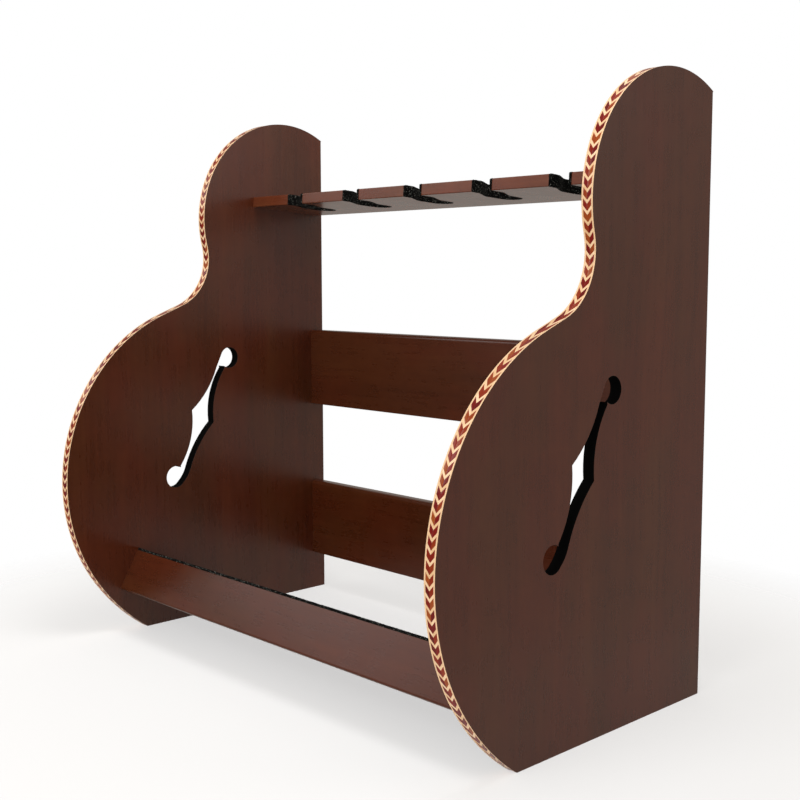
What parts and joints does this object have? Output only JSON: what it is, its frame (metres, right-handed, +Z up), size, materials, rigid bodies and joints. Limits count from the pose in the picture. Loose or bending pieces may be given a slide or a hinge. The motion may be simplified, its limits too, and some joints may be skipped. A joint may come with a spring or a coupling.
{
  "type": "guitar rack",
  "caption": "Floor rack that stands guitars upright side by side, with guitar-shaped side panels, f-holes, chevron edge inlay, a carpeted sloping shelf and a slotted padded neck rest",
  "frame": {"origin": "centre of the footprint on the floor", "axes": "+Z up, front of the rack faces -Y, X runs across the rack with +X to the right seen from the front"},
  "size_m": [0.93, 0.5864, 0.95],
  "materials": {
    "stained_wood": "dark walnut stain under satin lacquer, fine vertical grain",
    "chevron_inlay": "red and cream chevron marquetry, lacquered",
    "pale_inlay": "cream maple line, lacquered",
    "speckled_carpet": "short black pile with grey flecks",
    "steel": "zinc plated steel",
    "zinc": "die-cast zinc, plain",
    "beech": "plain turned beech"
  },
  "bodies": {
    "root": {"left_side_panel": "stained_wood", "right_side_panel": "stained_wood", "left_chevron_band": "chevron_inlay", "right_chevron_band": "chevron_inlay", "left_binding_lines": "pale_inlay", "right_binding_lines": "pale_inlay", "neck_rest": "stained_wood", "neck_pad_1": "speckled_carpet", "neck_pad_2": "speckled_carpet", "neck_pad_3": "speckled_carpet", "neck_pad_4": "speckled_carpet", "neck_pad_5": "speckled_carpet", "front_apron": "stained_wood", "base_shelf": "stained_wood", "shelf_carpet": "speckled_carpet", "back_rail": "stained_wood", "lower_rail": "stained_wood", "cam_bolts": "steel", "cam_nuts": "zinc", "wood_dowels": "beech", "apron_dowels": "beech"}
  },
  "joints": []
}
